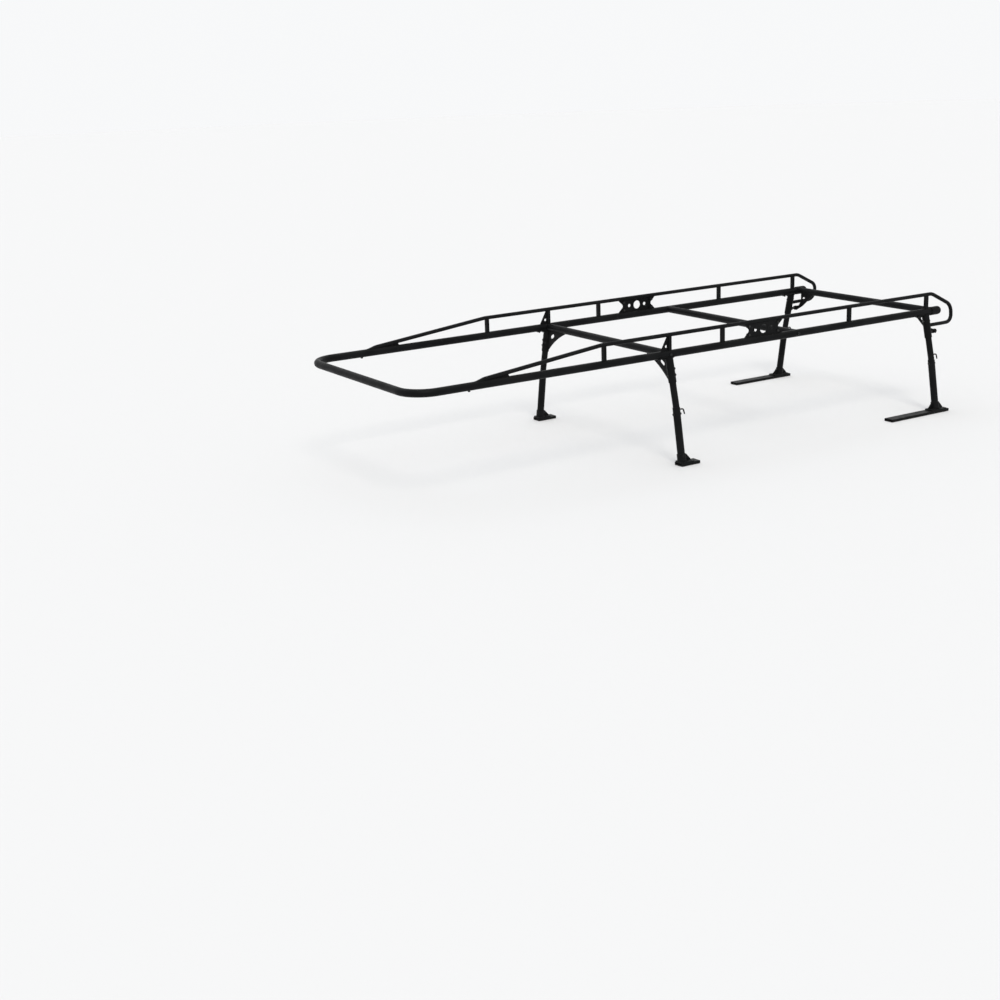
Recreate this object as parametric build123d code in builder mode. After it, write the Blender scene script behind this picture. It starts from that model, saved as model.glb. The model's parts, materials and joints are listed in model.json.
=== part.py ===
from build123d import *

import math
import os

# Over-cab truck ladder rack. Millimetres, +X to the front of the vehicle, +Y to its left, +Z up.
# The origin is the centre of the rectangle of the four feet, on the plane that they stand on.

# Driving dimensions: the side frames
RAIL_Y = 711.5
RAIL_Z = 722.0
RAIL_RADIUS = 25.4
RAIL_WALL = 2.5
UPPER_RISE = 127.0
UPPER_RADIUS = 13.35
UPPER_WALL = 2.0
UPRIGHT_X = (1696.0, 1174.0, 726.0, -423.0, -1187.0)
UPRIGHT_SIZE = 24.0
UPRIGHT_WALL = 2.0
RAIL_REAR_X = -1285.0
RAIL_FRONT_X = 2805.0

# The splice in the middle of each side, and its plates
SPLICE_X = 370.0
SPLICE_GAP = 0.5
SPLICE_LENGTH = 330.0
NOTCH_DEPTH = 44.5
NOTCH_LIP = 3.0
NOTCH_ROUND = 18.0
SPLICE_BOLT_X = 127.0
SPLICE_BOLT_Z = 29.0
SPLICE_LARGE_HOLE = 30.5
SPLICE_SMALL_HOLE = 12.5
SPLICE_SMALL_HOLE_X = 70.0
SPLICE_TAB = (38.0, 36.0)
LOWER_SPLICE_SLEEVE = 220.0
UPPER_SPLICE_SLEEVE = 160.0
SLEEVE_FIT = 0.2

# The gusset in the corner of an upright and a rail
RAIL_GUSSET_BASE = 56.0
RAIL_GUSSET_TOP = 9.0
RAIL_GUSSET_TOE = 30.0
RAIL_GUSSET_HOLE = (14.5, 52.0)
RAIL_GUSSET_HOLE_RADIUS = 9.0

# The web where the two rails close on each other at the front
WEB_X = (2396.0, 2424.0, 2640.0)
WEB_Z = (771.5, 738.0)

# The sloped front of the upper rail, and its rear loop down to the leg
SLOPE_TOP_X = 1712.0
SLOPE_KINK = (2590.0, 753.5)
SLOPE_END = (2704.0, 718.6)
SLOPE_BENDS = [120.0, 60.0]
LOOP_TOP_X = -1242.0
LOOP_SHOULDER = (-1443.0, 714.0, 747.0)
LOOP_HEEL = (-1430.0, 734.0, 628.0)
LOOP_RETURN = (-1330.0, 740.0, 627.0)
LOOP_END = (-1190.0, 736.0, 626.0)
LOOP_BENDS = [90.0, 72.0, 60.0, 100.0]

# The bow over the cab
BOW_X = 3090.0
BOW_RADIUS = 25.4
BOW_WALL = 2.0
BOW_CORNER = 170.0
BOW_REAR_X = 2676.0
BOW_BOLT_X = 2700.0
SPIGOT_RADIUS = 23.15
SPIGOT_ROOT = 14.0
BOW_NUT_DEPTH = 18.2

# The crossbars
FRONT_BAR_X = 1180.0
MIDDLE_BAR_X = 70.0
REAR_BAR_X = -1255.0
BAR_RADIUS = 25.0
BAR_WALL = 2.5
PLUG_Y = 648.0
PLUG_LENGTH = 14.0
PLUG_FIT = 0.1

# The legs, as points of their centre lines in the plane across the vehicle
LEG_X = 1180.0
FOOT_Y = 852.0
LEG_KNEE = (787.0, 395.0)
UPPER_LEG_RADIUS = 22.25
UPPER_LEG_WALL = 2.5
LOWER_LEG_RADIUS = 25.4
LOWER_LEG_WALL = 2.9
LEG_OVERLAP = 145.0
KNEE_BEND = 200.0
LOWER_LEG_BASE = 6.0
LOWER_LEG_LENGTH = 349.0
LOCK_BOLT_Z = {"front": 334.0, "rear": 354.0}

# Tie-down cleats: a rod out of the rear of each leg, turned down at its end
CLEAT_Z = {"front": 362.0, "rear": 415.0}
CLEAT_RADIUS = 4.75
CLEAT_REACH = 56.0
CLEAT_TIP = (67.0, 36.0)
CLEAT_BEND = 15.0

# Leg heads: a saddle under the rail and a socket around the top of the leg
SADDLE_WALL = 5.0
SADDLE_HALF_ANGLE = 64.0
SOCKET_RADIUS = 26.6
SOCKET_BORE = 22.5
SOCKET_LOW_Z = 538.0
SOCKET_RUNOUT = 20.0
HEAD_BOLT_Z = {"front": (585.0, 625.0), "rear": (656.0,)}
SADDLE_START = 33.0
SADDLE_END = 92.0
SADDLE_BOLT_OFFSET = (42.0, 74.0)

# The curved gusset from the front leg head in under the front crossbar
HEAD_GUSSET_START_Y = 478.0
HEAD_GUSSET_MIDDLE = (640.0, 610.0)
HEAD_GUSSET_END_Y = 722.0
HEAD_GUSSET_TOE = (740.0, 8.0)
HEAD_GUSSET_THICKNESS = 6.0
HEAD_GUSSET_GAP = 0.2
HEAD_SLOT = (650.0, 657.0)
HEAD_SLOT_SIZE = (50.0, 24.0)
HEAD_SLOT_TURN = -32.0

# Feet and base channels
PAD_HEIGHT = 4.0
CHANNEL_TOP = 20.0
CHANNEL_WIDTH = 76.0
CHANNEL_WALL = 3.0
FRONT_CHANNEL = (1060.0, 1213.0)
REAR_CHANNEL = (-1276.0, -700.0)
CHANNEL_ROUND = 2.5
PAD_ROUND = 3.0
FOOT_REACH = 75.0
FRONT_FOOT_TOE = 32.0
FOOT_PLATE = 8.0
FOOT_ROUND = 8.0
FOOT_COLLAR_HEIGHT = 48.0
FOOT_COLLAR_RADIUS = 30.0
FOOT_SOCKET_FLOOR = 5.0
FOOT_HOLE_RADIUS = 5.5
FOOT_HOLE_X = 55.0
FOOT_HOLE_Y = 24.0
FOOT_RIB = 6.0
FOOT_RIB_INSET = 3.0
FOOT_RIB_TOE = 5.0
FOOT_RIB_TOP = 42.0
FOOT_RIB_TOP_REACH = 38.0

# The removable rear crossbar: end sleeves on the rail ends, a gusset and a locking knob each side
SLEEVE_RADIUS = 30.75
SLEEVE_BORE = 27.6
SLEEVE_FRONT_X = -1228.0
SLEEVE_REAR_X = -1302.0
CAP_END_X = -1328.0
LINER_FIT = 0.1
LINER_INSET = 1.0
SLIDE_GAP = 0.3
PLATE = 5.0
BAR_GUSSET_X = -1240.0
BAR_GUSSET_TOP_Z = 712.0
BAR_GUSSET_OUTLINE = [(664.0, 640.0), (692.0, 602.0)]
BAR_GUSSET_HEEL = (716.0, 563.0)
BAR_GUSSET_KNEE = (645.0, 603.0)
BAR_GUSSET_INNER = (530.0, 700.0)
BAR_GUSSET_HOLE = (632.0, 661.0)
BAR_GUSSET_HOLE_RADIUS = 15.0
BAR_GUSSET_BOSS = 16.0

# The locking knobs, and the boss and welded nut on each rear leg head
KNOB_AXIS = (739.0, 578.0)
KNOB_BACK_X = -1267.0
KNOB_FRONT_X = -1249.0
KNOB_RADIUS = 17.0
KNOB_LOBE = 4.5
KNOB_LOBES = 6
KNOB_WEB = 3.0
KNOB_HUB = 9.0
KNOB_SCREW_DEPTH = 12.0
SCREW_RADIUS = 6.0
SCREW_GAP = 0.08
SCREW_END_X = -1204.0
LOCK_BOSS_X = -1211.0
LOCK_BOSS_RADIUS = 14.0
LOCK_NUT_CORNER = 10.4
LOCK_NUT_HEIGHT = 8.0

# Fasteners: shank radius, radius over the corners of the hexagon, head height and nut height
M8 = (4.0, 7.5, 5.3, 6.5)
M10 = (5.0, 9.2, 6.4, 8.0)
HOLE_GAP = 0.25
THREAD_END = 3.0
CUT = 60.0

UPPER_Z = RAIL_Z + UPPER_RISE
SADDLE_RADIUS = RAIL_RADIUS + SADDLE_WALL
SPLICE_Z = (RAIL_Z + RAIL_RADIUS + UPPER_Z - UPPER_RADIUS) / 2
FOOT_PLATE_TOP = CHANNEL_TOP + FOOT_PLATE
LOWER_LEAN = (FOOT_Y - LEG_KNEE[0]) / LEG_KNEE[1]
UPPER_LEAN = (LEG_KNEE[0] - RAIL_Y) / (RAIL_Z - LEG_KNEE[1])
SIDE_PLANE = Plane(origin=(0, RAIL_Y, 0), x_dir=(1, 0, 0), z_dir=(0, -1, 0))

os.makedirs("parts", exist_ok=True)


def save(piece, name):
    """Label a finished piece and write its STEP file."""
    piece.part.label = name
    export_step(piece.part, f"parts/{name}.step")


def mirrored(piece):
    """The mirror image of a piece, across the middle plane of the rack."""
    with BuildPart() as image:
        mirror(piece.part, about=Plane.XZ)
    return image


def save_pair(piece, name):
    """Write a left-hand piece, and its mirror image for the right-hand side."""
    save(piece, f"left_{name}")
    save(mirrored(piece), f"right_{name}")


def save_both_sides(piece, name):
    """Write the left and right copies of a set of small pieces as one node."""
    with BuildPart() as both:
        add(piece.part)
        mirror(piece.part, about=Plane.XZ)
    save(both, name)


def leg_y(z):
    """Where the centre line of a left leg is at a height."""
    if z < LEG_KNEE[1]:
        return FOOT_Y - LOWER_LEAN * z
    return LEG_KNEE[0] - UPPER_LEAN * (z - LEG_KNEE[1])


def leg_plane(x, z):
    """The plane across a left leg at a height, with its normal up the leg."""
    lean = LOWER_LEAN if z < LEG_KNEE[1] else UPPER_LEAN
    return Plane(origin=(x, leg_y(z), z), x_dir=(1, 0, 0), z_dir=(0, -lean, 1))


def bar(start, end, radius, wall=0.0):
    """A straight round bar between two points, or a tube if it has a wall."""
    axis = Vector(*end) - Vector(*start)
    with BuildPart() as made:
        with BuildSketch(Plane(origin=start, z_dir=axis)):
            Circle(radius)
            if wall:
                Circle(radius - wall, mode=Mode.SUBTRACT)
        extrude(amount=axis.length)
    return made


def bent_tube(points, bends, radius, wall=0.0):
    """A round tube, or a solid bar, along a route with rounded corners."""
    with BuildPart() as made:
        with BuildLine() as route:
            FilletPolyline(*points, radius=bends)
        with BuildSketch(Plane(origin=route.line @ 0, z_dir=route.line % 0)):
            Circle(radius)
            if wall:
                Circle(radius - wall, mode=Mode.SUBTRACT)
        sweep()
    return made


def hex_bolt(seat, size, length):
    """A hexagon bolt whose head stands on a plane, with its shank behind the plane."""
    shank, corner, head, _ = size
    with BuildPart() as made:
        with BuildSketch(seat):
            RegularPolygon(radius=corner, side_count=6)
        extrude(amount=head)
        with BuildSketch(seat):
            Circle(shank)
        extrude(amount=-length)
    return made.part


def hex_nut(seat, size):
    """A hexagon nut standing on a plane."""
    shank, corner, _, height = size
    with BuildPart() as made:
        with BuildSketch(seat):
            RegularPolygon(radius=corner, side_count=6)
            Circle(shank + SCREW_GAP, mode=Mode.SUBTRACT)
        extrude(amount=height)
    return made.part


# Solid envelopes that neighbouring pieces are coped to
lower_rail_shape = bar((RAIL_REAR_X - CUT, RAIL_Y, RAIL_Z), (RAIL_FRONT_X, RAIL_Y, RAIL_Z), RAIL_RADIUS)
saddle_shape = bar((RAIL_REAR_X, RAIL_Y, RAIL_Z), (RAIL_FRONT_X, RAIL_Y, RAIL_Z), SADDLE_RADIUS)
front_socket_shape = bar((LEG_X, leg_y(SOCKET_LOW_Z), SOCKET_LOW_Z), (LEG_X, RAIL_Y, RAIL_Z), SOCKET_RADIUS)
rear_socket_shape = bar((-LEG_X, leg_y(SOCKET_LOW_Z), SOCKET_LOW_Z), (-LEG_X, RAIL_Y, RAIL_Z), SOCKET_RADIUS)
upper_joint_shape = bar((SPLICE_X - CUT, RAIL_Y, UPPER_Z), (SPLICE_X + CUT, RAIL_Y, UPPER_Z), UPPER_RADIUS)
sleeve_shape = bar((SLEEVE_REAR_X, RAIL_Y, RAIL_Z), (SLEEVE_FRONT_X, RAIL_Y, RAIL_Z), SLEEVE_RADIUS)
rear_bar_shape = bar((REAR_BAR_X, -RAIL_Y, RAIL_Z), (REAR_BAR_X, RAIL_Y, RAIL_Z), BAR_RADIUS)

front_upper_route = [
    (SPLICE_X + SPLICE_GAP, RAIL_Y, UPPER_Z),
    (SLOPE_TOP_X, RAIL_Y, UPPER_Z),
    (SLOPE_KINK[0], RAIL_Y, SLOPE_KINK[1]),
    (SLOPE_END[0], RAIL_Y, SLOPE_END[1]),
]
rear_upper_route = [
    (SPLICE_X - SPLICE_GAP, RAIL_Y, UPPER_Z),
    (LOOP_TOP_X, RAIL_Y, UPPER_Z),
    LOOP_SHOULDER,
    LOOP_HEEL,
    LOOP_RETURN,
    LOOP_END,
]
front_upper_shape = bent_tube(front_upper_route, SLOPE_BENDS, UPPER_RADIUS)
rear_upper_shape = bent_tube(rear_upper_route, LOOP_BENDS, UPPER_RADIUS)

# Lower rails, in a front and a rear length that meet at the splice
leg_x = {"front": LEG_X, "rear": -LEG_X}
rail_ends = {
    "front": (SPLICE_X + SPLICE_GAP, BOW_REAR_X - SPLICE_GAP),
    "rear": (RAIL_REAR_X, SPLICE_X - SPLICE_GAP),
}
bar_bolt_x = {"front": FRONT_BAR_X, "rear": MIDDLE_BAR_X}
for section, (rail_start, rail_end) in rail_ends.items():
    with BuildPart() as lower_rail:
        with BuildSketch(Plane.YZ.offset(rail_start)):
            with Locations((RAIL_Y, RAIL_Z)):
                Circle(RAIL_RADIUS)
                Circle(RAIL_RADIUS - RAIL_WALL, mode=Mode.SUBTRACT)
        extrude(amount=rail_end - rail_start)
        with BuildSketch(Plane(origin=(bar_bolt_x[section], RAIL_Y, RAIL_Z), z_dir=(0, 1, 0))):
            Circle(M10[0] + HOLE_GAP)
        extrude(amount=CUT, both=True, mode=Mode.SUBTRACT)
        with BuildSketch(Plane.XY.offset(RAIL_Z)):
            with Locations(*[(leg_x[section] + offset, RAIL_Y) for offset in SADDLE_BOLT_OFFSET]):
                Circle(M8[0] + HOLE_GAP)
        extrude(amount=-CUT, mode=Mode.SUBTRACT)
        if section == "front":
            with BuildSketch(Plane.YZ.offset(BOW_REAR_X - SPIGOT_ROOT)):
                with Locations((RAIL_Y, RAIL_Z)):
                    Circle(SPIGOT_RADIUS)
                    Circle(SPIGOT_RADIUS - RAIL_WALL, mode=Mode.SUBTRACT)
            extrude(amount=RAIL_FRONT_X - BOW_REAR_X + SPIGOT_ROOT)
            with BuildSketch(Plane.XY.offset(RAIL_Z)):
                with Locations((BOW_BOLT_X, RAIL_Y)):
                    Circle(M10[0] + HOLE_GAP)
            extrude(amount=-CUT, mode=Mode.SUBTRACT)
    save_pair(lower_rail, f"{section}_lower_rail")

# Upper rails
with BuildPart() as front_upper_rail:
    add(bent_tube(front_upper_route, SLOPE_BENDS, UPPER_RADIUS, UPPER_WALL).part)
    add(lower_rail_shape.part, mode=Mode.SUBTRACT)
save_pair(front_upper_rail, "front_upper_rail")

with BuildPart() as rear_upper_rail:
    add(bent_tube(rear_upper_route, LOOP_BENDS, UPPER_RADIUS, UPPER_WALL).part)
    add(rear_socket_shape.part, mode=Mode.SUBTRACT)
save_pair(rear_upper_rail, "rear_upper_rail")

# Uprights of square tube between the two rails
with BuildPart() as uprights:
    with BuildSketch(Plane.XY.offset(RAIL_Z)):
        with Locations(*[(x, RAIL_Y) for x in UPRIGHT_X]):
            Rectangle(UPRIGHT_SIZE, UPRIGHT_SIZE)
            Rectangle(UPRIGHT_SIZE - 2 * UPRIGHT_WALL, UPRIGHT_SIZE - 2 * UPRIGHT_WALL, mode=Mode.SUBTRACT)
    extrude(amount=UPPER_RISE)
    for shape in (lower_rail_shape, front_upper_shape, rear_upper_shape):
        add(shape.part, mode=Mode.SUBTRACT)
save_pair(uprights, "uprights")

# Triangular gusset in the corner in front of the second upright
with BuildPart() as rail_gusset:
    with BuildSketch(SIDE_PLANE):
        corner_x = UPRIGHT_X[1] + UPRIGHT_SIZE / 2
        with BuildLine():
            Polyline(
                (corner_x, RAIL_Z),
                (corner_x + RAIL_GUSSET_BASE, RAIL_Z),
                (corner_x + RAIL_GUSSET_BASE, RAIL_Z + RAIL_GUSSET_TOE),
                (corner_x + RAIL_GUSSET_TOP, UPPER_Z - UPPER_RADIUS),
                (corner_x + RAIL_GUSSET_TOP, UPPER_Z),
                (corner_x, UPPER_Z),
                close=True,
            )
        make_face()
        with Locations((corner_x + RAIL_GUSSET_HOLE[0], RAIL_Z + RAIL_GUSSET_HOLE[1])):
            Circle(RAIL_GUSSET_HOLE_RADIUS, mode=Mode.SUBTRACT)
    extrude(amount=PLATE / 2, both=True)
    for shape in (lower_rail_shape, front_upper_shape):
        add(shape.part, mode=Mode.SUBTRACT)
save_both_sides(rail_gusset, "rail_gussets")

# Small webs where the sloped upper rail closes on the lower rail
with BuildPart() as front_web:
    with BuildSketch(SIDE_PLANE):
        with BuildLine():
            Polyline(
                (WEB_X[0], RAIL_Z),
                (WEB_X[2], RAIL_Z),
                (WEB_X[2], WEB_Z[1]),
                SLOPE_KINK,
                (WEB_X[1], WEB_Z[0]),
                close=True,
            )
        make_face()
    extrude(amount=PLATE / 2, both=True)
    for shape in (lower_rail_shape, front_upper_shape):
        add(shape.part, mode=Mode.SUBTRACT)
save_both_sides(front_web, "front_webs")

# Splice plates: notched ends, one large and two small lightening holes, a bolt near each corner
splice_reach = SPLICE_LENGTH / 2
splice_half_height = (UPPER_RISE - RAIL_RADIUS - UPPER_RADIUS) / 2
notch_height = splice_half_height - NOTCH_LIP
splice_bolt_spots = [
    (SPLICE_X + i * SPLICE_BOLT_X, SPLICE_Z + k * SPLICE_BOLT_Z) for i in (-1, 1) for k in (-1, 1)
]
with BuildPart() as splice_plate:
    with BuildSketch(SIDE_PLANE):
        with Locations((SPLICE_X, SPLICE_Z)):
            Rectangle(SPLICE_LENGTH, UPPER_RISE - RAIL_RADIUS)
        for side in (-1, 1):
            with BuildLine():
                Polyline(
                    (SPLICE_X + side * splice_reach, SPLICE_Z - notch_height),
                    (SPLICE_X + side * (splice_reach - NOTCH_DEPTH), SPLICE_Z),
                    (SPLICE_X + side * splice_reach, SPLICE_Z + notch_height),
                    close=True,
                )
            make_face(mode=Mode.SUBTRACT)
        with Locations((SPLICE_X, SPLICE_Z)):
            Circle(SPLICE_LARGE_HOLE, mode=Mode.SUBTRACT)
        with Locations(*[(SPLICE_X + side * SPLICE_SMALL_HOLE_X, SPLICE_Z) for side in (-1, 1)]):
            Circle(SPLICE_SMALL_HOLE, mode=Mode.SUBTRACT)
        with Locations(*splice_bolt_spots):
            Circle(M10[0] + HOLE_GAP, mode=Mode.SUBTRACT)
    extrude(amount=-PLATE)
    for shape in (lower_rail_shape, front_upper_shape, rear_upper_shape, upper_joint_shape):
        add(shape.part, mode=Mode.SUBTRACT)
    notch_edges = [
        edge
        for edge in splice_plate.edges().filter_by(Axis.Y)
        if abs(abs(edge.center().X - SPLICE_X) - (splice_reach - NOTCH_DEPTH)) < SPLICE_GAP
    ]
    fillet(notch_edges, NOTCH_ROUND)
save_pair(splice_plate, "splice_plate")

# Tabs welded to the rails, which the splice plates are bolted to
with BuildPart() as splice_tabs:
    with BuildSketch(SIDE_PLANE):
        with Locations((SPLICE_X, SPLICE_Z)):
            with GridLocations(2 * SPLICE_BOLT_X, 2 * splice_half_height - SPLICE_TAB[1] / 2, 2, 2):
                Rectangle(*SPLICE_TAB)
        for side in (-1, 1):
            with BuildLine():
                Polyline(
                    (SPLICE_X + side * (splice_reach + NOTCH_LIP), SPLICE_Z - splice_half_height),
                    (SPLICE_X + side * (splice_reach - NOTCH_DEPTH), SPLICE_Z),
                    (SPLICE_X + side * (splice_reach + NOTCH_LIP), SPLICE_Z + splice_half_height),
                    close=True,
                )
            make_face(mode=Mode.SUBTRACT)
        with Locations(*splice_bolt_spots):
            Circle(M10[0] + HOLE_GAP, mode=Mode.SUBTRACT)
    extrude(amount=PLATE)
    for shape in (lower_rail_shape, front_upper_shape, rear_upper_shape):
        add(shape.part, mode=Mode.SUBTRACT)
save_both_sides(splice_tabs, "splice_tabs")

with BuildPart() as splice_bolts:
    for x, z in splice_bolt_spots:
        plate_seat = Plane(origin=(x, RAIL_Y + PLATE, z), z_dir=(0, 1, 0))
        add(hex_bolt(plate_seat, M10, 2 * PLATE + M10[3] + THREAD_END))
save_both_sides(splice_bolts, "splice_bolts")

# Inner sleeves that line up the two lengths of each rail
lower_sleeve = bar(
    (SPLICE_X - LOWER_SPLICE_SLEEVE / 2, RAIL_Y, RAIL_Z),
    (SPLICE_X + LOWER_SPLICE_SLEEVE / 2, RAIL_Y, RAIL_Z),
    RAIL_RADIUS - RAIL_WALL - SLEEVE_FIT,
    RAIL_WALL,
)
save_both_sides(lower_sleeve, "lower_rail_sleeves")
upper_sleeve = bar(
    (SPLICE_X - UPPER_SPLICE_SLEEVE / 2, RAIL_Y, UPPER_Z),
    (SPLICE_X + UPPER_SPLICE_SLEEVE / 2, RAIL_Y, UPPER_Z),
    UPPER_RADIUS - UPPER_WALL - SLEEVE_FIT,
    UPPER_WALL,
)
save_both_sides(upper_sleeve, "upper_rail_sleeves")

# The bow: one bent tube whose ends slide over the spigots of the lower rails
with BuildPart() as cab_bow:
    with BuildLine() as bow_route:
        FilletPolyline(
            (BOW_REAR_X, RAIL_Y, RAIL_Z),
            (BOW_X, RAIL_Y, RAIL_Z),
            (BOW_X, -RAIL_Y, RAIL_Z),
            (BOW_REAR_X, -RAIL_Y, RAIL_Z),
            radius=BOW_CORNER,
        )
    with BuildSketch(Plane(origin=bow_route.line @ 0, z_dir=bow_route.line % 0)):
        Circle(BOW_RADIUS)
        Circle(BOW_RADIUS - BOW_WALL, mode=Mode.SUBTRACT)
    sweep()
    with BuildSketch(Plane.XY.offset(RAIL_Z)):
        with Locations((BOW_BOLT_X, RAIL_Y), (BOW_BOLT_X, -RAIL_Y)):
            Circle(M10[0] + HOLE_GAP)
    extrude(amount=-CUT, mode=Mode.SUBTRACT)
save(cab_bow, "cab_bow")

with BuildPart() as bow_bolts:
    bow_seat = Plane(origin=(BOW_BOLT_X, RAIL_Y, RAIL_Z - BOW_RADIUS), z_dir=(0, 0, -1))
    add(hex_bolt(bow_seat, M10, BOW_RADIUS - BOW_NUT_DEPTH + M10[3] + THREAD_END))
save_both_sides(bow_bolts, "bow_bolts")

# Crossbars: the front and middle bars are bolted through the rails into plugs in their ends
with BuildPart() as front_crossbar:
    add(bar((FRONT_BAR_X, -RAIL_Y, RAIL_Z), (FRONT_BAR_X, RAIL_Y, RAIL_Z), BAR_RADIUS, BAR_WALL).part)
    for shape in (saddle_shape, front_socket_shape):
        add(shape.part, mode=Mode.SUBTRACT)
        add(mirrored(shape).part, mode=Mode.SUBTRACT)
save(front_crossbar, "front_crossbar")

with BuildPart() as middle_crossbar:
    add(bar((MIDDLE_BAR_X, -RAIL_Y, RAIL_Z), (MIDDLE_BAR_X, RAIL_Y, RAIL_Z), BAR_RADIUS, BAR_WALL).part)
    add(lower_rail_shape.part, mode=Mode.SUBTRACT)
    add(mirrored(lower_rail_shape).part, mode=Mode.SUBTRACT)
save(middle_crossbar, "middle_crossbar")

with BuildPart() as end_plugs:
    with BuildSketch(Plane(origin=(0, PLUG_Y, RAIL_Z), x_dir=(1, 0, 0), z_dir=(0, 1, 0))):
        with Locations((FRONT_BAR_X, 0), (MIDDLE_BAR_X, 0)):
            Circle(BAR_RADIUS - BAR_WALL - PLUG_FIT)
            Circle(M10[0] + SCREW_GAP, mode=Mode.SUBTRACT)
    extrude(amount=PLUG_LENGTH)
save_both_sides(end_plugs, "crossbar_end_plugs")

with BuildPart() as crossbar_bolts:
    for x in (FRONT_BAR_X, MIDDLE_BAR_X):
        bolt_seat = Plane(origin=(x, RAIL_Y + RAIL_RADIUS, RAIL_Z), z_dir=(0, 1, 0))
        add(hex_bolt(bolt_seat, M10, RAIL_Y + RAIL_RADIUS - PLUG_Y))
save_both_sides(crossbar_bolts, "crossbar_bolts")

# Leg heads
for section, x in leg_x.items():
    with BuildPart() as socket_bore:
        with BuildSketch(leg_plane(x, SOCKET_LOW_Z - SOCKET_RUNOUT)):
            Circle(SOCKET_BORE)
        extrude(amount=RAIL_Z - SOCKET_LOW_Z + SOCKET_RUNOUT)
        add(saddle_shape.part, mode=Mode.SUBTRACT)
    with BuildPart() as leg_head:
        with BuildSketch(Plane.YZ.offset(x - SADDLE_START)):
            with Locations((RAIL_Y, RAIL_Z)):
                Circle(SADDLE_RADIUS)
            with BuildLine():
                spread = CUT * math.tan(math.radians(SADDLE_HALF_ANGLE))
                Polyline(
                    (RAIL_Y, RAIL_Z),
                    (RAIL_Y - spread, RAIL_Z - CUT),
                    (RAIL_Y + spread, RAIL_Z - CUT),
                    close=True,
                )
            make_face(mode=Mode.INTERSECT)
        extrude(amount=SADDLE_START + SADDLE_END)
        with BuildSketch(leg_plane(x, SOCKET_LOW_Z)):
            Circle(SOCKET_RADIUS)
        extrude(amount=RAIL_Z - RAIL_RADIUS + SADDLE_WALL - SOCKET_LOW_Z)
        if section == "front":
            with BuildSketch(Plane.YZ.offset(x)):
                with BuildLine():
                    arc_start = (HEAD_GUSSET_START_Y, RAIL_Z - BAR_RADIUS - HEAD_GUSSET_GAP)
                    arc_end = (HEAD_GUSSET_END_Y, SOCKET_LOW_Z)
                    toe = (HEAD_GUSSET_TOE[0], SOCKET_LOW_Z + HEAD_GUSSET_TOE[1])
                    ThreePointArc(arc_start, HEAD_GUSSET_MIDDLE, arc_end)
                    Polyline(arc_end, toe, (RAIL_Y, arc_start[1]), arc_start)
                make_face()
                with Locations(Location(HEAD_SLOT, HEAD_SLOT_TURN)):
                    SlotOverall(*HEAD_SLOT_SIZE, mode=Mode.SUBTRACT)
            extrude(amount=HEAD_GUSSET_THICKNESS / 2, both=True)
        else:
            with BuildSketch(Plane.YZ.offset(LOCK_BOSS_X)):
                with Locations(KNOB_AXIS):
                    Circle(LOCK_BOSS_RADIUS)
            extrude(amount=x - LOCK_BOSS_X)
            with BuildSketch(Plane.YZ.offset(LOCK_BOSS_X)):
                with Locations(KNOB_AXIS):
                    Circle(SCREW_RADIUS + SCREW_GAP)
            extrude(amount=x - LOCK_BOSS_X, mode=Mode.SUBTRACT)
        add(lower_rail_shape.part, mode=Mode.SUBTRACT)
        add(socket_bore.part, mode=Mode.SUBTRACT)
        with BuildSketch(Plane.XY.offset(RAIL_Z)):
            with Locations(*[(x + offset, RAIL_Y) for offset in SADDLE_BOLT_OFFSET]):
                Circle(M8[0] + HOLE_GAP)
        extrude(amount=-CUT, mode=Mode.SUBTRACT)
        with BuildSketch(Plane.YZ.offset(x)):
            with Locations(*[(leg_y(z), z) for z in HEAD_BOLT_Z[section]]):
                Circle(M10[0] + HOLE_GAP)
        extrude(amount=CUT, both=True, mode=Mode.SUBTRACT)
    save_pair(leg_head, f"{section}_leg_head")

with BuildPart() as saddle_bolts:
    for x in leg_x.values():
        for offset in SADDLE_BOLT_OFFSET:
            saddle_seat = Plane(origin=(x + offset, RAIL_Y, RAIL_Z - SADDLE_RADIUS), z_dir=(0, 0, -1))
            add(hex_bolt(saddle_seat, M8, SADDLE_WALL + RAIL_WALL + M8[3] + THREAD_END))
save_both_sides(saddle_bolts, "saddle_bolts")

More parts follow.
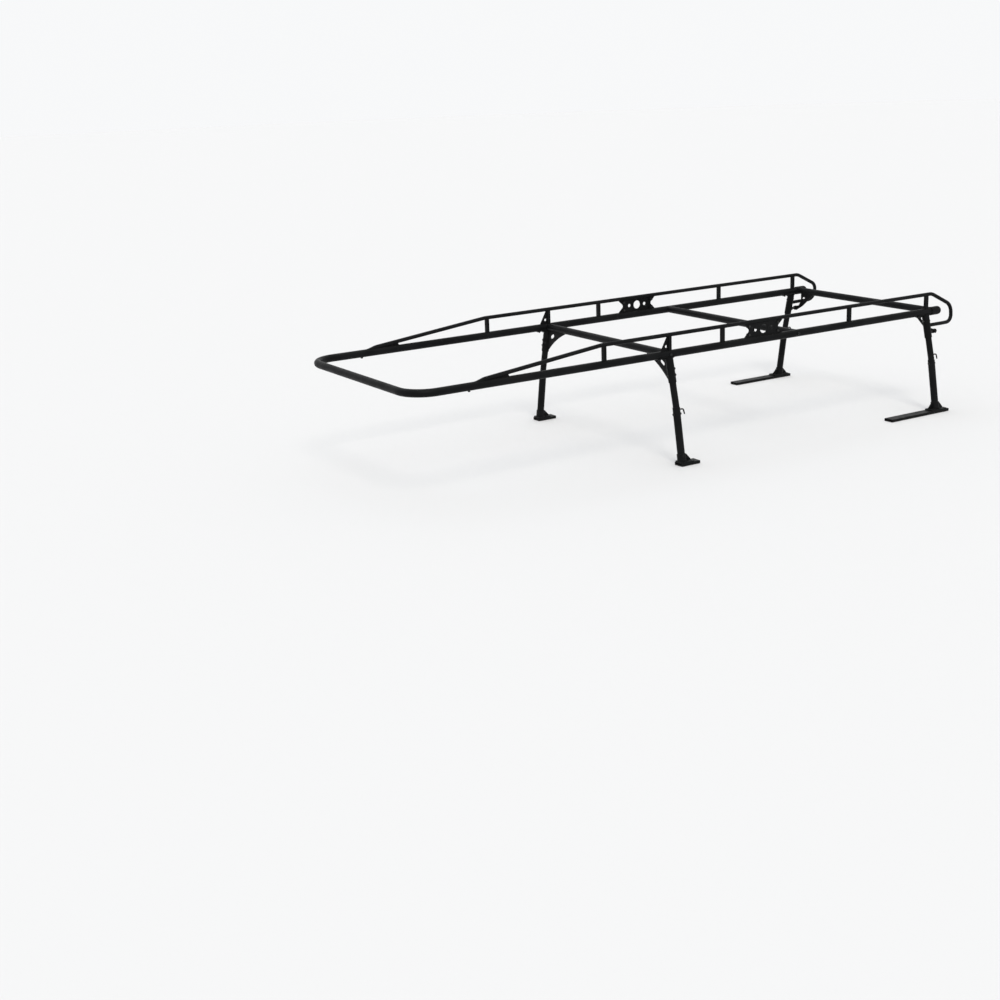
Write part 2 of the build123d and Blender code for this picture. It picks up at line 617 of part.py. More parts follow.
# Legs: the upper tube slides into the lower one and bends just above it
leg_shapes = {}
for section, x in leg_x.items():
    leg_route = [
        (x, leg_y(LEG_KNEE[1] - LEG_OVERLAP), LEG_KNEE[1] - LEG_OVERLAP),
        (x, LEG_KNEE[0], LEG_KNEE[1]),
        (x, RAIL_Y, RAIL_Z),
    ]
    lower_leg_ends = ((x, FOOT_Y, 0), (x, LEG_KNEE[0], LEG_KNEE[1]))
    leg_shapes[section] = (
        bent_tube(leg_route, [KNEE_BEND], UPPER_LEG_RADIUS),
        bar(*lower_leg_ends, LOWER_LEG_RADIUS),
    )
    lock_spot = (leg_y(LOCK_BOLT_Z[section]), LOCK_BOLT_Z[section])
    with BuildPart() as upper_leg:
        add(bent_tube(leg_route, [KNEE_BEND], UPPER_LEG_RADIUS, UPPER_LEG_WALL).part)
        add(saddle_shape.part, mode=Mode.SUBTRACT)
        with BuildSketch(Plane.YZ.offset(x)):
            with Locations(lock_spot, *[(leg_y(z), z) for z in HEAD_BOLT_Z[section]]):
                Circle(M10[0] + HOLE_GAP)
        extrude(amount=CUT, both=True, mode=Mode.SUBTRACT)
    save_pair(upper_leg, f"{section}_upper_leg")

    with BuildPart() as lower_leg:
        with BuildSketch(leg_plane(x, FOOT_PLATE_TOP + LOWER_LEG_BASE)):
            Circle(LOWER_LEG_RADIUS)
            Circle(LOWER_LEG_RADIUS - LOWER_LEG_WALL, mode=Mode.SUBTRACT)
        extrude(amount=LOWER_LEG_LENGTH)
        with BuildSketch(Plane.YZ.offset(x)):
            with Locations(lock_spot):
                Circle(M10[0] + HOLE_GAP)
        extrude(amount=CUT, both=True, mode=Mode.SUBTRACT)
    save_pair(lower_leg, f"{section}_lower_leg")

# Bolts through the legs: through each leg head, and through the overlap of the two leg tubes
with BuildPart() as leg_head_bolts:
    for section, x in leg_x.items():
        for z in HEAD_BOLT_Z[section]:
            head_seat = Plane(origin=(x + SOCKET_RADIUS, leg_y(z), z), z_dir=(1, 0, 0))
            add(hex_bolt(head_seat, M10, 2 * SOCKET_RADIUS + M10[3] + THREAD_END))
save_both_sides(leg_head_bolts, "leg_head_bolts")

with BuildPart() as leg_lock_bolts:
    for section, x in leg_x.items():
        z = LOCK_BOLT_Z[section]
        lock_seat = Plane(origin=(x + LOWER_LEG_RADIUS, leg_y(z), z), z_dir=(1, 0, 0))
        add(hex_bolt(lock_seat, M10, 2 * LOWER_LEG_RADIUS + M10[3] + THREAD_END))
save_both_sides(leg_lock_bolts, "leg_lock_bolts")

with BuildPart() as cleats:
    for section, x in leg_x.items():
        z = CLEAT_Z[section]
        y = leg_y(z)
        hook = [(x, y, z), (x - CLEAT_REACH, y, z), (x - CLEAT_TIP[0], y, z - CLEAT_TIP[1])]
        add(bent_tube(hook, [CLEAT_BEND], CLEAT_RADIUS).part)
        for shape in leg_shapes[section]:
            add(shape.part, mode=Mode.SUBTRACT)
save_both_sides(cleats, "tie_down_cleats")

# Every M10 nut of the rack
with BuildPart() as hex_nuts:
    add(hex_nut(Plane(origin=(BOW_BOLT_X, RAIL_Y, RAIL_Z - BOW_NUT_DEPTH)), M10))
    for x, z in splice_bolt_spots:
        add(hex_nut(Plane(origin=(x, RAIL_Y - PLATE, z), z_dir=(0, -1, 0)), M10))
    for section, x in leg_x.items():
        for z in HEAD_BOLT_Z[section]:
            add(hex_nut(Plane(origin=(x - SOCKET_RADIUS, leg_y(z), z), z_dir=(-1, 0, 0)), M10))
        z = LOCK_BOLT_Z[section]
        add(hex_nut(Plane(origin=(x - LOWER_LEG_RADIUS, leg_y(z), z), z_dir=(-1, 0, 0)), M10))
save_both_sides(hex_nuts, "hex_nuts")

# Feet: a plate with a collar around the leg, ribbed to the rear, and at the rear legs to the front too
rib_reach = FOOT_REACH - FOOT_RIB_INSET
rib_y = leg_y(FOOT_PLATE_TOP + FOOT_RIB_TOP / 2)
foot_toe = {"front": FRONT_FOOT_TOE, "rear": FOOT_REACH}
foot_hole_x = {"front": [LEG_X - FOOT_HOLE_X], "rear": [-LEG_X - FOOT_HOLE_X, -LEG_X + FOOT_HOLE_X]}
foot_holes = {
    section: [(hole_x, FOOT_Y + side * FOOT_HOLE_Y) for hole_x in columns for side in (-1, 1)]
    for section, columns in foot_hole_x.items()
}
for section, x in leg_x.items():
    rib_sides = (-1,) if section == "front" else (-1, 1)
    with BuildPart() as foot:
        with BuildSketch(Plane.XY.offset(CHANNEL_TOP)):
            with Locations((x + (foot_toe[section] - FOOT_REACH) / 2, FOOT_Y)):
                RectangleRounded(FOOT_REACH + foot_toe[section], CHANNEL_WIDTH, FOOT_ROUND)
        extrude(amount=FOOT_PLATE)
        with BuildSketch(Plane(origin=(x, rib_y, FOOT_PLATE_TOP), x_dir=(1, 0, 0), z_dir=(0, -1, 0))):
            for side in rib_sides:
                with BuildLine():
                    Polyline(
                        (0, -FOOT_PLATE / 2),
                        (side * rib_reach, -FOOT_PLATE / 2),
                        (side * rib_reach, FOOT_RIB_TOE),
                        (side * FOOT_RIB_TOP_REACH, FOOT_RIB_TOP),
                        (0, FOOT_RIB_TOP),
                        close=True,
                    )
                make_face()
        extrude(amount=FOOT_RIB / 2, both=True)
        with BuildSketch(leg_plane(x, FOOT_PLATE_TOP - FOOT_PLATE / 4)):
            Circle(FOOT_COLLAR_RADIUS)
        extrude(amount=FOOT_COLLAR_HEIGHT)
        with BuildSketch(leg_plane(x, FOOT_PLATE_TOP + FOOT_SOCKET_FLOOR)):
            Circle(LOWER_LEG_RADIUS + HOLE_GAP)
        extrude(amount=FOOT_COLLAR_HEIGHT, mode=Mode.SUBTRACT)
        with BuildSketch(Plane.XY.offset(CHANNEL_TOP)):
            with Locations(*foot_holes[section]):
                Circle(FOOT_HOLE_RADIUS)
        extrude(amount=FOOT_PLATE, mode=Mode.SUBTRACT)
    save_pair(foot, f"{section}_foot")

# Base channels under the feet, and the pads under the channels
for section, (channel_start, channel_end) in {"front": FRONT_CHANNEL, "rear": REAR_CHANNEL}.items():
    channel_middle = (channel_start + channel_end) / 2
    channel_length = channel_end - channel_start
    with BuildPart() as base_channel:
        with BuildSketch(Plane.XY.offset(PAD_HEIGHT)):
            with Locations((channel_middle, FOOT_Y)):
                Rectangle(channel_length, CHANNEL_WIDTH)
        extrude(amount=CHANNEL_TOP - PAD_HEIGHT)
        with BuildSketch(Plane.XY.offset(PAD_HEIGHT)):
            with Locations((channel_middle, FOOT_Y)):
                Rectangle(channel_length, CHANNEL_WIDTH - 2 * CHANNEL_WALL)
        extrude(amount=CHANNEL_TOP - PAD_HEIGHT - CHANNEL_WALL, mode=Mode.SUBTRACT)
        with BuildSketch(Plane.XY.offset(PAD_HEIGHT)):
            with Locations(*foot_holes[section]):
                Circle(FOOT_HOLE_RADIUS)
        extrude(amount=CHANNEL_TOP, mode=Mode.SUBTRACT)
        top_edges = base_channel.edges().filter_by(Axis.X).group_by(Axis.Z)[-1]
        fillet(top_edges, CHANNEL_ROUND)
    save_both_sides(base_channel, f"{section}_base_channels")

with BuildPart() as base_pads:
    for section, (pad_start, pad_end) in {"front": FRONT_CHANNEL, "rear": REAR_CHANNEL}.items():
        with BuildSketch(Plane.XY):
            with Locations(((pad_start + pad_end) / 2, FOOT_Y)):
                RectangleRounded(pad_end - pad_start, CHANNEL_WIDTH, PAD_ROUND)
            with Locations(*foot_holes[section]):
                Circle(FOOT_HOLE_RADIUS, mode=Mode.SUBTRACT)
        extrude(amount=PAD_HEIGHT)
save_both_sides(base_pads, "base_pads")

# The removable rear crossbar
with BuildPart() as rear_crossbar:
    add(bar((REAR_BAR_X, -RAIL_Y, RAIL_Z), (REAR_BAR_X, RAIL_Y, RAIL_Z), BAR_RADIUS, BAR_WALL).part)
    add(sleeve_shape.part, mode=Mode.SUBTRACT)
    add(mirrored(sleeve_shape).part, mode=Mode.SUBTRACT)
save(rear_crossbar, "rear_crossbar")

end_sleeve = bar(
    (SLEEVE_REAR_X, RAIL_Y, RAIL_Z),
    (SLEEVE_FRONT_X, RAIL_Y, RAIL_Z),
    SLEEVE_RADIUS,
    SLEEVE_RADIUS - SLEEVE_BORE,
)
save_pair(end_sleeve, "end_sleeve")

liner_wall = SLEEVE_BORE - LINER_FIT - RAIL_RADIUS - SLIDE_GAP
sleeve_liner = bar(
    (RAIL_REAR_X + LINER_INSET, RAIL_Y, RAIL_Z),
    (SLEEVE_FRONT_X - LINER_INSET, RAIL_Y, RAIL_Z),
    SLEEVE_BORE - LINER_FIT,
    liner_wall,
)
save_both_sides(sleeve_liner, "sleeve_liners")

with BuildPart() as sleeve_cap:
    with BuildSketch(SIDE_PLANE):
        with BuildLine():
            spigot = SLEEVE_BORE - LINER_FIT
            dome = SLEEVE_REAR_X - CAP_END_X
            dome_radius = (SLEEVE_RADIUS**2 + dome**2) / (2 * dome)
            Polyline(
                (CAP_END_X, RAIL_Z),
                (RAIL_REAR_X - SLIDE_GAP, RAIL_Z),
                (RAIL_REAR_X - SLIDE_GAP, RAIL_Z + spigot),
                (SLEEVE_REAR_X, RAIL_Z + spigot),
                (SLEEVE_REAR_X, RAIL_Z + SLEEVE_RADIUS),
            )
            RadiusArc((SLEEVE_REAR_X, RAIL_Z + SLEEVE_RADIUS), (CAP_END_X, RAIL_Z), -dome_radius)
        make_face()
    revolve(axis=Axis((0, RAIL_Y, RAIL_Z), (1, 0, 0)))
save_both_sides(sleeve_cap, "sleeve_caps")

with BuildPart() as bar_gusset:
    with BuildSketch(Plane.YZ.offset(BAR_GUSSET_X)):
        with BuildLine():
            Polyline(
                (BAR_GUSSET_INNER[0], BAR_GUSSET_TOP_Z),
                (BAR_GUSSET_OUTLINE[0][0], BAR_GUSSET_TOP_Z),
                *BAR_GUSSET_OUTLINE,
                (KNOB_AXIS[0], KNOB_AXIS[1] + BAR_GUSSET_BOSS),
                (KNOB_AXIS[0], KNOB_AXIS[1] - BAR_GUSSET_BOSS),
                BAR_GUSSET_HEEL,
                BAR_GUSSET_KNEE,
                BAR_GUSSET_INNER,
                close=True,
            )
        make_face()
        with Locations(KNOB_AXIS):
            Circle(BAR_GUSSET_BOSS)
            Circle(SCREW_RADIUS + SCREW_GAP, mode=Mode.SUBTRACT)
        with Locations(BAR_GUSSET_HOLE):
            Circle(BAR_GUSSET_HOLE_RADIUS, mode=Mode.SUBTRACT)
    extrude(amount=PLATE / 2, both=True)
    add(rear_bar_shape.part, mode=Mode.SUBTRACT)
    add(sleeve_shape.part, mode=Mode.SUBTRACT)
save_pair(bar_gusset, "crossbar_gusset")

# Locking knobs: a lobed plastic head moulded on a steel screw, with a nut welded to the leg head
hub_front_x = BAR_GUSSET_X - PLATE / 2 - SLIDE_GAP
screw_back_x = KNOB_FRONT_X - KNOB_SCREW_DEPTH
with BuildPart() as knob:
    with BuildSketch(Plane.YZ.offset(KNOB_BACK_X)):
        with Locations(KNOB_AXIS):
            Circle(KNOB_RADIUS - KNOB_WEB)
            with PolarLocations(KNOB_RADIUS - KNOB_LOBE, KNOB_LOBES):
                Circle(KNOB_LOBE)
    extrude(amount=KNOB_FRONT_X - KNOB_BACK_X)
    with BuildSketch(Plane.YZ.offset(KNOB_FRONT_X)):
        with Locations(KNOB_AXIS):
            Circle(KNOB_HUB)
    extrude(amount=hub_front_x - KNOB_FRONT_X)
    with BuildSketch(Plane.YZ.offset(hub_front_x)):
        with Locations(KNOB_AXIS):
            Circle(SCREW_RADIUS)
    extrude(amount=screw_back_x - hub_front_x, mode=Mode.SUBTRACT)
save_pair(knob, "knob")

knob_screw = bar((screw_back_x, *KNOB_AXIS), (SCREW_END_X, *KNOB_AXIS), SCREW_RADIUS)
save_pair(knob_screw, "knob_screw")

with BuildPart() as lock_nuts:
    with BuildSketch(Plane(origin=(LOCK_BOSS_X, *KNOB_AXIS), z_dir=(-1, 0, 0))):
        RegularPolygon(radius=LOCK_NUT_CORNER, side_count=6)
        Circle(SCREW_RADIUS + SCREW_GAP, mode=Mode.SUBTRACT)
    extrude(amount=LOCK_NUT_HEIGHT)
save_both_sides(lock_nuts, "lock_nuts")
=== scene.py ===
import json
import math

import bmesh
import bpy
from mathutils import Matrix, Vector
from mathutils.bvhtree import BVHTree

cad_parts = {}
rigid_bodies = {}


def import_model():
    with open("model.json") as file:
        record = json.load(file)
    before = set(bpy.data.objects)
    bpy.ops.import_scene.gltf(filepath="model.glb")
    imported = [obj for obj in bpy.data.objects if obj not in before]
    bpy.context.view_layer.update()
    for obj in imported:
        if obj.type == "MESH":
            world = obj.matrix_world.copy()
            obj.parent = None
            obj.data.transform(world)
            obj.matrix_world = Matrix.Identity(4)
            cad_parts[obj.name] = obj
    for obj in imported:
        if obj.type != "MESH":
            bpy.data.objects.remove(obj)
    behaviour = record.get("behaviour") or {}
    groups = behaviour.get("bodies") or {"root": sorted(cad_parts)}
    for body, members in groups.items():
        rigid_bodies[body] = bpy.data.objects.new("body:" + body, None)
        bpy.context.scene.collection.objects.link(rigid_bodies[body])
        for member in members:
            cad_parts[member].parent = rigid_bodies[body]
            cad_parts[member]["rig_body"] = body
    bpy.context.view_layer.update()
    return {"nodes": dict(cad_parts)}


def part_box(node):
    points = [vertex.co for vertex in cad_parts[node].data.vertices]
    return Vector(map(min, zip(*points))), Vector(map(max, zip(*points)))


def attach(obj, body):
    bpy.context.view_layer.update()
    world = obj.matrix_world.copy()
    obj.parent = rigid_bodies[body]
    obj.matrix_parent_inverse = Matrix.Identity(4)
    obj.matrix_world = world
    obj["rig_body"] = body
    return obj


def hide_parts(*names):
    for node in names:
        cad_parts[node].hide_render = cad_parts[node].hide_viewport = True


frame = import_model()

# Ladder rack in metres, in the frame of the CAD model: +X to the front, +Y to the left, +Z up.

SIDES = ("left", "right")
ENDS = ("front", "rear")

# Camera
CAMERA_PLACE = Vector((7.3174, 8.6007, 2.6524))
CAMERA_YAW = math.radians(-121.355)
CAMERA_PITCH = math.radians(-16.169)
CAMERA_ROLL = math.radians(-2.177)
CAMERA_LENS = 55.52

# Light and floor. Each lamp: the direction it shines from, strength, colour, softness
SKY_COLOUR = (0.985, 0.992, 1.0, 1.0)
SKY_STRENGTH = 0.95
LAMPS = {
    "key": (Vector((0.35, 1.0, 1.15)), 1.0, (1.0, 0.96, 0.90), math.radians(18)),
    "overhead": (Vector((0.1, -0.2, 1.0)), 0.55, (0.78, 0.88, 1.0), math.radians(55)),
}
FLOOR_RADIUS = 60.0
FLOOR_CORNERS = 128
FLOOR_COLOUR = (0.71, 0.705, 0.70, 1.0)
FLOOR_ROUGHNESS = 0.9

# Weathering: each noise as waves per metre and detail, each range as the values that give none and all
CHIP_NOISE = (160.0, 5.0)
CHIP_RANGE = (0.04, 0.16)
SCUFF_NOISE = (34.0, 6.0)
SCUFF_RANGE = (0.62, 0.80)
CLOUD_NOISE = (5.0, 3.0)
CLOUD_RANGE = (0.35, 0.65)
DUST_NOISE = (90.0, 6.0)
DUST_RANGE = (0.35, 0.75)
DUST_SLOPE = (0.55, 1.0)
DUST_COLOUR = (0.16, 0.15, 0.135, 1.0)
DUST_ROUGHNESS = 0.35
GLOSS_NOISE = (21.0, 4.0)
GLOSS_RANGE = (0.3, 0.7)
EDGE_SAMPLES = 6

# Weld beads. The swell is the shares of the radius that are steady, rippled and wandering
BEAD_THIN = 0.0021
BEAD_WIDE = 0.0030
BEAD_STEP = 0.0011
BEAD_RIPPLE = 0.0036
BEAD_SIDES = 8
BEAD_PHASE = 0.7
BEAD_SWELL = (0.82, 0.20, 0.05)
BEAD_WANDER = (137.0, 311.0)
BEAD_TAPER = 0.35
BEAD_FEWEST_STEPS = 4
BEAD_EASINGS = 2
SHORTEST_WELD = 0.006
SAME_CENTRE = 0.006
WELD_TOUCH = 0.0005
SAME_PLACE = 1e-6
SOCKET_CLEARANCE = 0.002
COLLAR_MOUTH = 0.03

# Edges sharper than these angles: where a plate ends, where shading breaks, and where a bead's shading breaks
CREASE = math.radians(25)
SMOOTH = math.radians(40)
BEAD_SMOOTH = math.radians(80)

# Fasteners
FASTENER_SIDES = 48
HEX_TURN = math.pi / 3
HEX_FLAT = math.cos(math.pi / 6)
HEX_CHAMFER = math.tan(math.pi / 6)
CHAMFER_START = 0.94
THREAD_PITCH = 0.0015
THREAD_DEPTH = 0.0007
THREAD_LENGTH = 0.022
THREAD_STEPS = 4
THREAD_START = 0.0009
POINT_CHAMFER = 0.0002
SCREW_PITCH = 0.00175
SCREW_CHAMFER = 0.0004
END_BAND = 1e-5
NEAR_WIDEST = 0.97

# Knobs and caps. Each outline: shares of the radius and of the length, from the back to the front
KNOB_LOBES = 6
KNOB_LOBE_SHARE = 0.105
KNOB_SIDES = 96
KNOB_DISH = [(0.30, 0.94), (0.42, 0.96)]
KNOB_GRIP = [
    (0.62, 1.0), (0.84, 0.975), (0.94, 0.91), (0.985, 0.80), (1.0, 0.62),
    (1.0, 0.34), (0.975, 0.14), (0.92, 0.04), (0.82, 0.0),
]
KNOB_HUB = [(1.30, 0.0), (1.04, 0.10), (0.94, 0.45), (1.0, 0.93), (0.97, 1.0)]
HUB_INSET = 0.001
CAP_STEPS = 14
CAP_SIDES = 96
CAP_RIM = 0.12
CAP_STEP = 0.975


def add_node(material, kind, inputs=None, **settings):
    """Add a node to a material. Inputs are constants, or other nodes' outputs to link."""
    node = material.node_tree.nodes.new(kind)
    for name, value in settings.items():
        setattr(node, name, value)
    for name, value in (inputs or {}).items():
        if isinstance(value, bpy.types.NodeSocket):
            material.node_tree.links.new(value, node.inputs[name])
        else:
            node.inputs[name].default_value = value
    return node


def arithmetic(material, operation, first, second):
    """The output of a Math node."""
    node = add_node(material, "ShaderNodeMath", {0: first, 1: second}, operation=operation)
    return node.outputs[0]


def ramp(material, value, low, high, to_low=0.0, to_high=1.0):
    """A value's clamped, smoothed share of the range from low to high, stretched to a new range."""
    inputs = {"Value": value, "From Min": low, "From Max": high, "To Min": to_low, "To Max": to_high}
    node = add_node(material, "ShaderNodeMapRange", inputs, interpolation_type="SMOOTHSTEP")
    return node.outputs[0]


def mixed(material, share, first, second):
    """The output of a colour Mix node."""
    node = add_node(material, "ShaderNodeMix", {"Factor": share}, data_type="RGBA")
    for socket, value in ((node.inputs[6], first), (node.inputs[7], second)):
        if isinstance(value, bpy.types.NodeSocket):
            material.node_tree.links.new(value, socket)
        else:
            socket.default_value = value
    return node.outputs[2]


def noise(material, place, scale, detail=2.0):
    """The output of a Noise node that reads places in metres, at a scale in waves per metre."""
    node = add_node(material, "ShaderNodeTexNoise", {"Vector": place, "Scale": scale, "Detail": detail})
    return node.outputs[0]


def surface(
    name, colour, second_colour, rough, grain, depth, edge, wear_colour, wear, dust, metal=0.0, shine=0.5
):
    """A weathered surface: slow colour change, grain in waves per metre, rounded and worn edges, and dust.

    The roughness is a pair, lowest and highest. The depth of the grain and the edge radius are in metres.
    """
    material = bpy.data.materials.new(name)
    material.use_nodes = True
    shader = material.node_tree.nodes["Principled BSDF"]
    place = add_node(material, "ShaderNodeTexCoord").outputs["Object"]
    geometry = add_node(material, "ShaderNodeNewGeometry").outputs["Normal"]

    rounded = add_node(material, "ShaderNodeBevel", {"Radius": edge}, samples=EDGE_SAMPLES).outputs[0]
    likeness = add_node(material, "ShaderNodeVectorMath", {0: rounded, 1: geometry}, operation="DOT_PRODUCT")
    sharpness = arithmetic(material, "SUBTRACT", 1.0, likeness.outputs["Value"])
    chips = noise(material, place, *CHIP_NOISE)
    edges = ramp(material, arithmetic(material, "MULTIPLY", sharpness, chips), *CHIP_RANGE)
    scuffs = ramp(material, noise(material, place, *SCUFF_NOISE), *SCUFF_RANGE)
    worn = arithmetic(material, "MULTIPLY", arithmetic(material, "MAXIMUM", edges, scuffs), wear)

    clouds = ramp(material, noise(material, place, *CLOUD_NOISE), *CLOUD_RANGE)
    up = add_node(material, "ShaderNodeSeparateXYZ", {0: geometry}).outputs[2]
    specks = ramp(material, noise(material, place, *DUST_NOISE), *DUST_RANGE)
    settled = arithmetic(material, "MULTIPLY", ramp(material, up, *DUST_SLOPE, 0.0, dust), specks)
    paint = mixed(material, clouds, colour, second_colour)
    paint = mixed(material, settled, paint, DUST_COLOUR)
    paint = mixed(material, worn, paint, wear_colour)
    material.node_tree.links.new(paint, shader.inputs["Base Color"])

    gloss = ramp(material, noise(material, place, *GLOSS_NOISE), *GLOSS_RANGE, *rough)
    dulled = arithmetic(material, "ADD", gloss, arithmetic(material, "MULTIPLY", settled, DUST_ROUGHNESS))
    material.node_tree.links.new(dulled, shader.inputs["Roughness"])
    shader.inputs["Metallic"].default_value = metal
    shader.inputs["Specular IOR Level"].default_value = shine

    skin = noise(material, place, grain, 2.0)
    bumped = {"Height": skin, "Normal": rounded, "Distance": depth, "Strength": 1.0}
    relief = add_node(material, "ShaderNodeBump", bumped)
    material.node_tree.links.new(relief.outputs[0], shader.inputs["Normal"])
    return material


def grey(level, warmth=0.0):
    """A grey colour, warmer where warmth is above zero and cooler below it."""
    return (level * (1 + warmth), level, level * (1 - warmth), 1.0)


tube_coat = surface(
    "powder_coat_tube", grey(0.0035, -0.10), grey(0.0065, -0.05), rough=(0.36, 0.50),
    grain=430.0, depth=0.00005, edge=0.0006, wear_colour=grey(0.05), wear=0.25, dust=0.08, shine=0.07,
)
plate_coat = surface(
    "powder_coat_plate", grey(0.0035, -0.08), grey(0.0070, -0.04), rough=(0.40, 0.54),
    grain=380.0, depth=0.00006, edge=0.0011, wear_colour=grey(0.07), wear=0.45, dust=0.10, shine=0.07,
)
weld_coat = surface(
    "powder_coat_weld", grey(0.0035, -0.08), grey(0.0060, -0.04), rough=(0.36, 0.50),
    grain=520.0, depth=0.00008, edge=0.0004, wear_colour=grey(0.05), wear=0.25, dust=0.05, shine=0.07,
)
fastener_coat = surface(
    "blackened_zinc", grey(0.020, -0.03), grey(0.036, 0.02), rough=(0.32, 0.48),
    grain=700.0, depth=0.00003, edge=0.0005, wear_colour=grey(0.22), wear=0.70, dust=0.10,
    metal=0.75, shine=0.3,
)
plastic = surface(
    "moulded_black_plastic", grey(0.003), grey(0.006, 0.02), rough=(0.50, 0.62),
    grain=1500.0, depth=0.00005, edge=0.0006, wear_colour=grey(0.03), wear=0.25, dust=0.10, shine=0.15,
)
nylon = surface(
    "black_nylon", grey(0.020), grey(0.030, 0.02), rough=(0.36, 0.46),
    grain=1100.0, depth=0.00002, edge=0.0004, wear_colour=grey(0.06), wear=0.20, dust=0.05, shine=0.5,
)
rubber = surface(
    "rubber_sheet", grey(0.014), grey(0.024, 0.04), rough=(0.70, 0.86),
    grain=1300.0, depth=0.00009, edge=0.0008, wear_colour=grey(0.06), wear=0.30, dust=0.25, shine=0.3,
)

MATERIALS = {
    "black_coated_steel": plate_coat,
    "fastener_steel": fastener_coat,
    "black_plastic": plastic,
    "nylon": nylon,
    "rubber": rubber,
}
TUBE_WORDS = ("rail", "leg", "bow", "crossbar", "sleeve", "cleats", "uprights")
PLATE_WORDS = ("head", "gusset", "foot", "plate", "web")
for node_name, node in frame["nodes"].items():
    for slot in node.material_slots:
        chosen = MATERIALS[slot.material.name.split(".")[0]]
        is_tube = any(word in node_name for word in TUBE_WORDS)
        is_plate = any(word in node_name for word in PLATE_WORDS)
        slot.material = tube_coat if chosen is plate_coat and is_tube and not is_plate else chosen


def finished(name, vertices, faces, body, slot, material, crease=SMOOTH):
    """Make a piece from vertices and faces, shade it, and let it ride on a body."""
    mesh = bpy.data.meshes.new(name)
    mesh.from_pydata(vertices, [], faces)
    mesh.materials.append(material)
    mesh.polygons.foreach_set("use_smooth", [True] * len(mesh.polygons))
    mesh.set_sharp_from_angle(angle=crease)
    mesh.update()
    piece = bpy.data.objects.new(name, mesh)
    bpy.context.scene.collection.objects.link(piece)
    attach(piece, body)
    return piece


def body_of_node(node_name):
    """The name of the body that a CAD node rides on."""
    return frame["nodes"][node_name]["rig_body"]


def welded_mesh(node_name):
    """A CAD node's mesh with its split vertices joined again, to be freed by the caller."""
    mesh = bmesh.new()
    mesh.from_mesh(frame["nodes"][node_name].data)
    bmesh.ops.remove_doubles(mesh, verts=mesh.verts, dist=SAME_PLACE)
    return mesh


def islands(node_name):
    """The vertices of each separate solid of a CAD node."""
    mesh = welded_mesh(node_name)
    found = []
    seen = set()
    for start in mesh.verts:
        if start in seen:
            continue
        island, waiting = [], [start]
        seen.add(start)
        while waiting:
            vertex = waiting.pop()
            island.append(vertex.co.copy())
            for edge in vertex.link_edges:
                other = edge.other_vert(vertex)
                if other not in seen:
                    seen.add(other)
                    waiting.append(other)
        found.append(island)
    mesh.free()
    return found


def span(points):
    """Lowest and highest corner of some points."""
    low = Vector([min(p[i] for p in points) for i in range(3)])
    high = Vector([max(p[i] for p in points) for i in range(3)])
    return low, high


# Weld beads
trees = {}


def tree_of(node_name):
    """The search tree of a CAD node's surface, made once."""
    if node_name not in trees:
        mesh = welded_mesh(node_name)
        trees[node_name] = BVHTree.FromBMesh(mesh)
        mesh.free()
    return trees[node_name]


def chains(edges):
    """Edges joined end to end, as (points, closed) with a break at each fork."""
    links = {}
    for edge in edges:
        for vertex in edge.verts:
            links.setdefault(vertex, []).append(edge)
    unused = set(edges)
    ends_first = sorted(links, key=lambda v: (len(links[v]) == 2, v.index))
    made = []
    for start in ends_first:
        for first in links[start]:
            if first not in unused:
                continue
            unused.discard(first)
            vertex = first.other_vert(start)
            points = [start.co.copy(), vertex.co.copy()]
            while vertex is not start and len(links[vertex]) == 2:
                following = [e for e in links[vertex] if e in unused]
                if not following:
                    break
                unused.discard(following[0])
                vertex = following[0].other_vert(vertex)
                points.append(vertex.co.copy())
            closed = vertex is start
            made.append((points[:-1] if closed else points, closed))
    return made


def length_of(points, closed):
    """Length of a chain of points."""
    pairs = zip(points, points[1:] + points[:1] if closed else points[1:])
    return sum((b - a).length for a, b in pairs)


def outer_chains(found):
    """Chains without those that lie inside a longer one, such as the inner edge of a tube's end."""
    kept = []
    for points, closed in sorted(found, key=lambda chain: -length_of(*chain)):
        middle = sum(points, Vector()) / len(points)
        inside = any(
            (middle - other).length < SAME_CENTRE for other, was_closed in kept if closed and was_closed
        )
        if not inside:
            kept.append((middle, closed))
            yield points, closed


def resampled(points, closed, step):
    """Points at an even step along a chain, with its corners eased."""
    path = points + points[:1] if closed else points
    count = max(BEAD_FEWEST_STEPS, round(length_of(points, closed) / step))
    spots, at, target = [], 0.0, 0.0
    spacing = length_of(points, closed) / count
    for a, b in zip(path, path[1:]):
        size = (b - a).length
        while size > 0 and target <= at + size and len(spots) < count + (not closed):
            spots.append(a.lerp(b, (target - at) / size))
            target += spacing
        at += size
    for _ in range(BEAD_EASINGS):
        before = spots[-1:] + spots[:-1]
        after = spots[1:] + spots[:1]
        eased = [(a + 2 * b + c) / 4 for a, b, c in zip(before, spots, after)]
        if not closed:
            eased[0], eased[-1] = spots[0], spots[-1]
        spots = eased
    return spots


